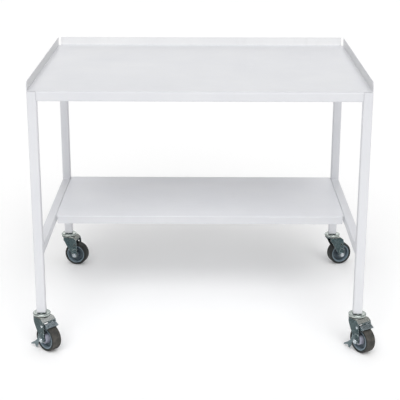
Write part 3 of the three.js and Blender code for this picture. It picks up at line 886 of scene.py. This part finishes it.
def fork_bmesh(braked):
    """Pressed fork: round crown, sloped visor, tapered cheeks and a raised pad at each eye."""
    visor_top = FORK_TOP - VISOR_DROP
    visor_bottom = visor_top - FORK_SHEET
    side_view = [
        (-CROWN_RADIUS, FORK_TOP),
        *filleted(
            [(0, FORK_TOP), (VISOR_START, FORK_TOP), (VISOR_END, visor_top)], 8, 4, False
        )[1:-1],
        (VISOR_END, visor_top),
        (VISOR_END, visor_bottom),
        (VISOR_END + 1.5, visor_bottom - FORK_SHEET),
        *arc(TRAIL, AXLE_HEIGHT, EYE_RADIUS, 10, -190, 28),
        *filleted([(TRAIL - EYE_RADIUS, AXLE_HEIGHT + 2), *CHEEK_EDGE], 14, 5, False)[1:],
    ]
    plan_view = [
        *arc(0, 0, CROWN_RADIUS, 90, 270, 36),
        (VISOR_END + EYE_RADIUS, -CROWN_RADIUS),
        (VISOR_END + EYE_RADIUS, CROWN_RADIUS),
    ]
    ceiling = FORK_TOP - FORK_SHEET
    slope = VISOR_DROP / (VISOR_END - VISOR_START)
    reach = UNDERSIDE_LENGTH
    underside = [
        (-reach, 1),
        (reach, 1),
        (reach, ceiling - VISOR_DROP - (reach - VISOR_END) * slope),
        (VISOR_START, ceiling),
        (-reach, ceiling),
    ]
    outer_end = channel_end(FORK_HALF_WIDTH, FORK_TOP, FORK_BEND)
    inner_end = channel_end(FORK_HALF_WIDTH - FORK_SHEET, ceiling, FORK_BEND - FORK_SHEET)
    hollow = combined(
        prism(underside, -TOOL_WIDTH, TOOL_WIDTH, along_y),
        [("INTERSECT", prism(inner_end, -TOOL_LENGTH, TOOL_LENGTH, along_x))],
    )
    pad = [
        *arc(TRAIL, AXLE_HEIGHT, PAD_HALF_WIDTH, 180, 360, 20),
        *arc(TRAIL, PAD_SHOULDER, PAD_HALF_WIDTH, 0, 180, 20),
    ]
    face, root = FORK_HALF_WIDTH + PAD_HEIGHT, FORK_HALF_WIDTH - 1
    axle_hole = circle(TRAIL, AXLE_HEIGHT, AXLE_BORE, 20)
    pivot_x, pivot_z = PIVOT
    if braked:
        side_hole = circle(pivot_x, pivot_z, RIVET_HOLE, 20)
    else:
        side_hole = [
            *arc(pivot_x, pivot_z - 7, SLOT_HALF_WIDTH, 180, 360, 8),
            *arc(pivot_x, pivot_z - 2.7, SLOT_HALF_WIDTH, 0, 180, 8),
        ]
    bm = combined(
        prism(side_view, -TOOL_WIDTH, TOOL_WIDTH, along_y),
        [
            ("INTERSECT", prism(plan_view, 0, FORK_TOP + 1, along_z)),
            ("INTERSECT", prism(outer_end, -TOOL_LENGTH, TOOL_LENGTH, along_x)),
            ("UNION", prism(pad, -face, -root, along_y)),
            ("UNION", prism(pad, root, face, along_y)),
            ("DIFFERENCE", hollow),
            ("DIFFERENCE", prism(circle(0, 0, FORK_BORE, 28), 90, 110, along_z)),
            ("DIFFERENCE", prism(axle_hole, -BORE_LENGTH, BORE_LENGTH, along_y)),
            ("DIFFERENCE", prism(side_hole, -BORE_LENGTH, BORE_LENGTH, along_y)),
        ],
    )
    round_edges(bm, 0.5 * MM, 2, 35)
    return bm


def cup_bmesh():
    """Pressed swivel cup with a rolled edge and a raised land round the collar."""
    bore = 6.15
    ceiling = CUP_TOP - 2.4
    skirt = CUP_RADIUS - 2.4
    profile = [
        (bore, ceiling),
        (skirt - 1.2, ceiling),
        (skirt, ceiling - 1.2),
        (skirt, CUP_BOTTOM + 0.5),
        (skirt + 0.5, CUP_BOTTOM),
        (CUP_RADIUS - 0.7, CUP_BOTTOM),
        (CUP_RADIUS, CUP_BOTTOM + 0.7),
        *arc(CUP_RADIUS - 2.2, CUP_TOP - 2.2, 2.2, 0, 90, 6),
        (19.5, CUP_TOP),
        (18.2, CUP_TOP - 0.9),
        (12.6, CUP_TOP - 0.9),
        (11.4, CUP_TOP),
        (bore, CUP_TOP),
    ]
    bm = lathe(profile, 72, True)
    # Painted shadow: the cup's lower lip gets the near-black finish.
    give_second_finish(bm, lambda centre, normal: centre.z < CUP_BOTTOM + 0.8)
    return bm


def ball_bearing_bmesh():
    """Two thin races and the ring of balls between them."""
    parts = []
    for i in range(BALL_COUNT):
        angle = 2 * math.pi * i / BALL_COUNT
        ball = bmesh.new()
        bmesh.ops.create_icosphere(ball, subdivisions=2, radius=BALL_RADIUS * MM)
        u, v = BALL_CIRCLE * math.cos(angle), BALL_CIRCLE * math.sin(angle)
        parts.append(shifted(ball, u, v, BALL_HEIGHT))
    low, high = BALL_HEIGHT - 1, BALL_HEIGHT + 1
    race = filleted([(14.6, low), (17.4, low), (17.4, high), (14.6, high)], 0.4, 2)
    return joined(lathe(race, 60, True), *parts)


def stem_bmesh():
    """Kingpin head under the crown, collar above the cup and the stem inside the leg."""
    head_top = FORK_TOP - FORK_SHEET - 0.3
    profile = [
        (0, 93),
        (5.5, 93),
        *arc(7.2, 94.8, 1.8, -90, 0, 4),
        (9, head_top - 0.3),
        (8.7, head_top),
        (6, head_top),
        (6, CUP_TOP + 0.15),
        (9.2, CUP_TOP + 0.15),
        (9.5, CUP_TOP + 0.45),
        (9.5, LEG_BOTTOM - 2.45),
        (9.2, LEG_BOTTOM - 2.15),
        (5, LEG_BOTTOM - 2.15),
        (5, STEM_TOP - 1),
        (4, STEM_TOP),
        (0, STEM_TOP),
    ]
    return lathe(profile, 40, False)


def hexagon(radius):
    return arc(0, 0, radius, 30, 390, 6)[:6]


def hex_body(low, high, bore=0.0):
    """A hexagon with its corners turned off at both ends, along Y."""
    cone = 0.9
    turned = [
        (0, low),
        (HEX_RADIUS - cone, low),
        (HEX_RADIUS + 0.02, low + cone * 0.55),
        (HEX_RADIUS + 0.02, high - cone * 0.55),
        (HEX_RADIUS - cone, high),
        (0, high),
    ]
    steps = [("INTERSECT", lathe(turned, 48, False, "Y"))]
    if bore:
        steps.append(("DIFFERENCE", prism(circle(0, 0, bore, 24), low - 2, high + 2, along_y)))
    return combined(prism(hexagon(HEX_RADIUS), low - 1, high + 1, along_y), steps)


def bolt_bmesh():
    """Hexagon head, plain shank and a threaded end past the nut."""
    inside = FORK_HALF_WIDTH + PAD_HEIGHT + 0.15
    tip = -FORK_HALF_WIDTH - PAD_HEIGHT - HEX_HEIGHT - 2.5
    shank = [(0, inside + 1), (AXLE_RADIUS, inside + 1)]
    crest = -FORK_HALF_WIDTH
    while crest > tip + 1.0:
        shank += [(AXLE_RADIUS, crest), (AXLE_RADIUS - 0.45, crest - 0.4)]
        crest -= 0.8
    shank += [(AXLE_RADIUS - 0.1, crest), (AXLE_RADIUS - 0.9, tip), (0, tip)]
    head = hex_body(inside, inside + HEX_HEIGHT)
    return joined(head, lathe(shank, 32, False, "Y"))


def nut_bmesh():
    """Lock nut: hexagon with the turned collar that holds its ring."""
    face = -FORK_HALF_WIDTH - PAD_HEIGHT - 0.15
    collar = [
        (AXLE_BORE, face - HEX_HEIGHT),
        (4.6, face - HEX_HEIGHT - 0.9),
        (5.4, face - HEX_HEIGHT - 0.9),
        (6.2, face - HEX_HEIGHT + 0.1),
        (6.2, face - HEX_HEIGHT + 0.9),
        (AXLE_BORE, face - HEX_HEIGHT + 0.9),
    ]
    hexagonal = hex_body(face - HEX_HEIGHT + 0.6, face, AXLE_BORE)
    return joined(hexagonal, lathe(collar, 36, True, "Y"))


def sleeve_bmesh():
    """Plain steel sleeve round the bolt, between the cheeks."""
    reach = FORK_HALF_WIDTH - FORK_SHEET - 0.15
    inner, outer = AXLE_BORE, 5.4
    section = [(inner, -reach), (outer, -reach), (outer, reach), (inner, reach)]
    return lathe(filleted(section, 0.3, 2), 32, True, "Y")


def rim_bmesh():
    """Wheel centre: hub, dished web with a moulded ring, and the band under the tyre."""
    hub, end, web = HUB_RADIUS, HUB_HALF_WIDTH, WEB_HALF_WIDTH
    outer, band = BAND_OUTSIDE, BAND_INSIDE
    side = [
        (hub - 3.6, end),
        (hub - 3.6, end - 1.2),
        (hub - 2.2, end - 1.2),
        (hub - 1.6, end),
        (hub - 0.8, end),
        (hub, end - 0.8),
        (hub + 0.6, web + 1.6),
        (hub + 2.2, web),
        (19.2, web),
        (19.8, web + 0.9),
        (21.2, web + 0.9),
        (21.8, web),
        (band - 2.0, web),
        (band - 0.7, web + 1.3),
        (band, 13.4),
        (band + 0.6, 14.0),
        (outer, 14.0),
    ]
    mirrored = [(radius, -reach) for radius, reach in side]
    profile = [(5.8, -end), *mirrored, *side[::-1], (5.8, end)]
    bm = lathe(profile, 84, True, "Y")
    give_second_finish(bm, lambda centre, normal: math.hypot(centre.x, centre.z) < hub + 0.8)
    # Painted highlight: the outer band gets the lighter nylon.
    give_second_finish(bm, lambda centre, normal: math.hypot(centre.x, centre.z) > band - 0.4, 2)
    return bm


def tyre_bmesh():
    """Tyre with round shoulders, a moulding line and a bead lip beside the rim."""
    radius, wall, shoulder = AXLE_HEIGHT, TYRE_HALF_WIDTH, TYRE_SHOULDER
    crown = radius - shoulder
    side = [
        (30.0, 13.6),
        (30.3, 14.4),
        (30.9, 14.75),
        (31.4, 14.4),
        (31.9, 15.2),
        *arc(crown, wall - shoulder, shoulder, 80, 6, 8),
        (radius - 0.02, 9.0),
        (radius, 4.0),
        (radius, 0.5),
    ]
    mirrored = [(r, -reach) for r, reach in side]
    bm = lathe([*mirrored, *side[::-1]], 120, True, "Y")
    give_second_finish(bm, lambda centre, normal: abs(centre.y) > wall - 1.6)
    return bm


PEDAL_SIDE = [(46, 74), (48.5, 77), (36, 84.5), (30, 85)]
SPLIT_TAIL = [
    (17, 72), (8, 58), (4, 44), (-1, 31), (-13, 20), (-29, 10), (-31, 5),
    (-12, 11.5), (-8.5, 3.5), (-4, 4), (2, 14), (7, 26),
]


def flat_plate(outline, low, high, holes=(), edge=0.35):
    """A pressed plate standing in the XZ plane with drilled holes and eased edges."""
    cuts = [("DIFFERENCE", prism(hole, low - 2, high + 2, along_y)) for hole in holes]
    bm = combined(prism(outline, low, high, along_y), cuts)
    round_edges(bm, edge * MM, 2, 50)
    return bm


def brake_lever_bmesh():
    """Ribbed foot plate between two arms, and a strap down past the hub to a split tail."""
    outer = FORK_HALF_WIDTH - FORK_SHEET - ARM_GAP
    inner = outer - ARM_SHEET
    pivot_x, pivot_z = PIVOT
    hole = circle(pivot_x, pivot_z, 2.8, 20)
    pedal = filleted(PEDAL_SIDE, 1.2, 3, False)
    short_arm = [*arc(pivot_x, pivot_z, 6, 120, 300, 16), *pedal]
    long_arm = [
        *arc(pivot_x, pivot_z, 6, 120, 160, 4),
        *filleted(SPLIT_TAIL, 4.0, 4, False),
        *arc(TRAIL, AXLE_HEIGHT, STRAP_RADIUS, 175, 100, 14),
        (31, 69.5),
        *pedal,
    ]
    ribs = 6
    start, end = Vector((34.9, 84.6)), Vector((48.4, 77.2))
    run = end - start
    outward = Vector((-run.y, run.x)).normalized()
    crest = []
    for i in range(ribs):
        for share, height in ((0.08, 0.0), (0.3, 1.0), (0.62, 1.0), (0.84, 0.0)):
            crest.append(tuple(start + run * (i + share) / ribs + outward * height))
    plate = [(34.5, 84.0), *crest, (48.9, 76.4), (46.8, 74.0), (34.5, 81.5)]
    return combined(
        flat_plate(long_arm, -outer, -inner, [hole]),
        [
            ("UNION", flat_plate(short_arm, inner, outer, [hole])),
            ("UNION", prism(filleted(plate, 0.35, 2), -outer + 0.1, outer - 0.1, along_y)),
        ],
    )


def rivet_bmesh():
    """Rivet through one cheek and one arm of the lever, with a domed head on each side."""
    inside = FORK_HALF_WIDTH - FORK_SHEET - ARM_GAP - ARM_SHEET - 0.15
    outside = FORK_HALF_WIDTH + 0.15
    profile = [
        (0, inside - 1.4),
        (2.8, inside - 1.3),
        (3.7, inside - 0.8),
        (4.2, inside),
        (2.5, inside),
        (2.5, outside),
        (4.2, outside),
        (4.1, outside + 0.4),
        (3.4, outside + 1.0),
        (2.0, outside + 1.35),
        (0, outside + 1.4),
    ]
    return lathe(profile, 28, False, "Y")


def insert_bmesh():
    """Plug in the leg's end with its visible square flange."""
    bore = circle(0, 0, STEM_BORE, 24)
    under = LEG_BOTTOM - 2 * INSERT_FLANGE
    flange = combined(
        prism(
            rounded_square(INSERT_FLANGE_SIDE, 3.0), LEG_BOTTOM - INSERT_FLANGE, LEG_BOTTOM, along_z
        ),
        [("DIFFERENCE", prism(bore, under, LEG_BOTTOM + 2, along_z))],
    )
    round_edges(flange, 0.4 * MM, 2, 50)
    plug = combined(
        prism(rounded_square(INSERT_PLUG_SIDE, 1.5), LEG_BOTTOM, INSERT_TOP, along_z),
        [("DIFFERENCE", prism(bore, under, INSERT_TOP + 2, along_z))],
    )
    return joined(flange, plug)


def caster_matrices(prefix):
    """The swivel's frame on the floor, and the axle's frame, from the joints."""
    swivel = JOINTS[f"{prefix}_swivel_turn"]["pos_m"]
    wheel = JOINTS[f"{prefix}_wheel_spin"]
    y_axis = Vector(wheel["axis"]).normalized()
    x_axis = y_axis.cross(Vector((0, 0, 1)))
    turn = Matrix((x_axis, y_axis, Vector((0, 0, 1)))).transposed().to_4x4()
    base = Matrix.Translation(Vector((swivel[0], swivel[1], 0))) @ turn
    axle = Matrix.Translation(Vector(wheel["pos_m"])) @ turn
    return base, axle


def build_caster(prefix):
    base, axle = caster_matrices(prefix)
    upright = Matrix.Translation(base.translation)
    braked = prefix in BRAKED
    made = [
        ("leg_insert", insert_bmesh(), upright),
        ("stem", stem_bmesh(), upright),
        ("swivel_cup", cup_bmesh(), upright),
        ("ball_ring", ball_bearing_bmesh(), base),
        ("fork", fork_bmesh(braked), base),
        ("axle_bolt", bolt_bmesh(), axle),
        ("axle_nut", nut_bmesh(), axle),
        ("axle_sleeve", sleeve_bmesh(), axle),
        ("wheel_rim", rim_bmesh(), axle),
        ("tyre", tyre_bmesh(), axle),
    ]
    if braked:
        pivot = Vector((PIVOT[0], 0, PIVOT[1])) * MM
        here = base @ Matrix.Translation(pivot)
        made += [
            ("brake_lever", brake_lever_bmesh(), base),
            ("brake_rivet_a", rivet_bmesh(), here),
            ("brake_rivet_b", rivet_bmesh(), here @ Matrix.Rotation(math.pi, 4, "Z")),
        ]
    nylon = SLOTS["rim_plastic"]
    # Painted light: front casters get the pale hub and the dusty tread rubber, while rear casters,
    # in the shelf's shade, get dark nylon hubs and the dark sidewall rubber on their treads as
    # painted shade. The cup gets a painted highlight and a painted shadow on its lip.
    finishes = {
        "swivel_cup": [CUP_ZINC_PAINTED_HIGHLIGHT, CUP_LIP_PAINTED_SHADOW],
        "tyre": [SLOTS["tyre_rubber"] if braked else SIDEWALL_RUBBER_AND_PAINTED_SHADE, SIDEWALL_RUBBER_AND_PAINTED_SHADE],
        "wheel_rim": [nylon, HUB_PAINTED_LIGHT if braked else nylon, RIM_LIP_PAINTED_HIGHLIGHT],
        "brake_lever": [LEVER_ZINC],
    }
    for name, bm, matrix in made:
        stand_in(f"{prefix}_{name}", moved(bm, matrix), finishes=finishes.get(name))


build_tubes()
build_welds()
build_worktop()
build_shelf()
for caster in CASTERS:
    build_caster(caster)


# ---- Floor, light and camera ---------------------------------------------

WHITE = (1.0, 1.0, 1.0, 1.0)
FLOOR_GLOW = 0.11
FLOOR_REACH = 40.0
FILL_STRENGTH = 0.33
LIGHT_DISTANCE = 4.0
# Name, direction towards the light, strength and spread in degrees
SOFTBOXES = [
    ("overhead_softbox", (0.0, -0.45, 1.0), 0.77, 65.0),
    ("front_softbox", (0.05, -1.0, 1.0), 1.51, 50.0),
    ("rear_softbox", (-0.1, 1.0, 0.45), 0.52, 50.0),
]


def floor_material():
    n = Nodes("studio_floor")
    color = n.mix(n.spread(n.noise(0.8), 0.3, 0.7), (0.93, 0.93, 0.93), (0.95, 0.95, 0.95))
    rough = n.spread(n.noise(3.0), 0.3, 0.7, 0.85, 0.95)
    n.bump([(n.noise(60.0), 0.02, 0.0005)])
    n.shader.inputs["Emission Color"].default_value = WHITE
    n.shader.inputs["Emission Strength"].default_value = FLOOR_GLOW
    return n.finish(color, rough, specular=0.0)


def build_floor():
    bm = bmesh.new()
    bmesh.ops.create_grid(bm, x_segments=8, y_segments=8, size=FLOOR_REACH)
    mesh = bpy.data.meshes.new("studio_floor")
    bm.to_mesh(mesh)
    bm.free()
    floor = bpy.data.objects.new("studio_floor", mesh)
    floor.data.materials.append(floor_material())
    bpy.context.scene.collection.objects.link(floor)


def add_sun(name, towards_light, strength, spread):
    """A very broad distant softbox, so the floor is lit evenly out to the horizon."""
    data = bpy.data.lights.new(name, "SUN")
    data.energy = strength
    data.angle = math.radians(spread)
    light = bpy.data.objects.new(name, data)
    light.rotation_euler = Vector(towards_light).to_track_quat("Z", "Y").to_euler()
    light.location = Vector(towards_light).normalized() * LIGHT_DISTANCE
    bpy.context.scene.collection.objects.link(light)


def build_world():
    """Faint white light from all round, behind a plain white backdrop."""
    world = bpy.context.scene.world or bpy.data.worlds.new("studio")
    bpy.context.scene.world = world
    world.use_nodes = True
    nodes, links = world.node_tree.nodes, world.node_tree.links
    fill = nodes["Background"]
    fill.inputs["Color"].default_value = WHITE
    fill.inputs["Strength"].default_value = FILL_STRENGTH
    backdrop = nodes.new("ShaderNodeBackground")
    backdrop.inputs["Color"].default_value = WHITE
    seen = nodes.new("ShaderNodeLightPath").outputs["Is Camera Ray"]
    blend = nodes.new("ShaderNodeMixShader")
    links.new(seen, blend.inputs[0])
    links.new(fill.outputs[0], blend.inputs[1])
    links.new(backdrop.outputs[0], blend.inputs[2])
    links.new(blend.outputs[0], nodes["World Output"].inputs["Surface"])


CAMERA_PLACE = (0.0007, -3.2171, 1.3868)
CAMERA_YAW = -0.28
CAMERA_PITCH = 18.09
CAMERA_ROLL = 0.1
CAMERA_LENS = 100.73
CAMERA_SENSOR = 36.0


def build_camera():
    yaw, pitch = math.radians(CAMERA_YAW), math.radians(CAMERA_PITCH)
    roll = math.radians(CAMERA_ROLL)
    ahead = Vector(
        (math.sin(yaw) * math.cos(pitch), math.cos(yaw) * math.cos(pitch), -math.sin(pitch))
    )
    level = Vector((math.cos(yaw), -math.sin(yaw), 0.0))
    above = level.cross(ahead)
    right = level * math.cos(roll) + above * math.sin(roll)
    up = above * math.cos(roll) - level * math.sin(roll)
    data = bpy.data.cameras.new("camera")
    data.sensor_width = CAMERA_SENSOR
    data.lens = CAMERA_LENS
    data.clip_end = 200.0
    camera = bpy.data.objects.new("camera", data)
    camera.matrix_world = Matrix.Translation(CAMERA_PLACE) @ Matrix(
        (right, up, -ahead)
    ).transposed().to_4x4()
    bpy.context.scene.collection.objects.link(camera)
    bpy.context.scene.camera = camera


build_floor()
for softbox in SOFTBOXES:
    add_sun(*softbox)
build_world()
build_camera()
view = bpy.context.scene.view_settings
view.view_transform = "Standard"
view.look = "None"
view.exposure = 0.0
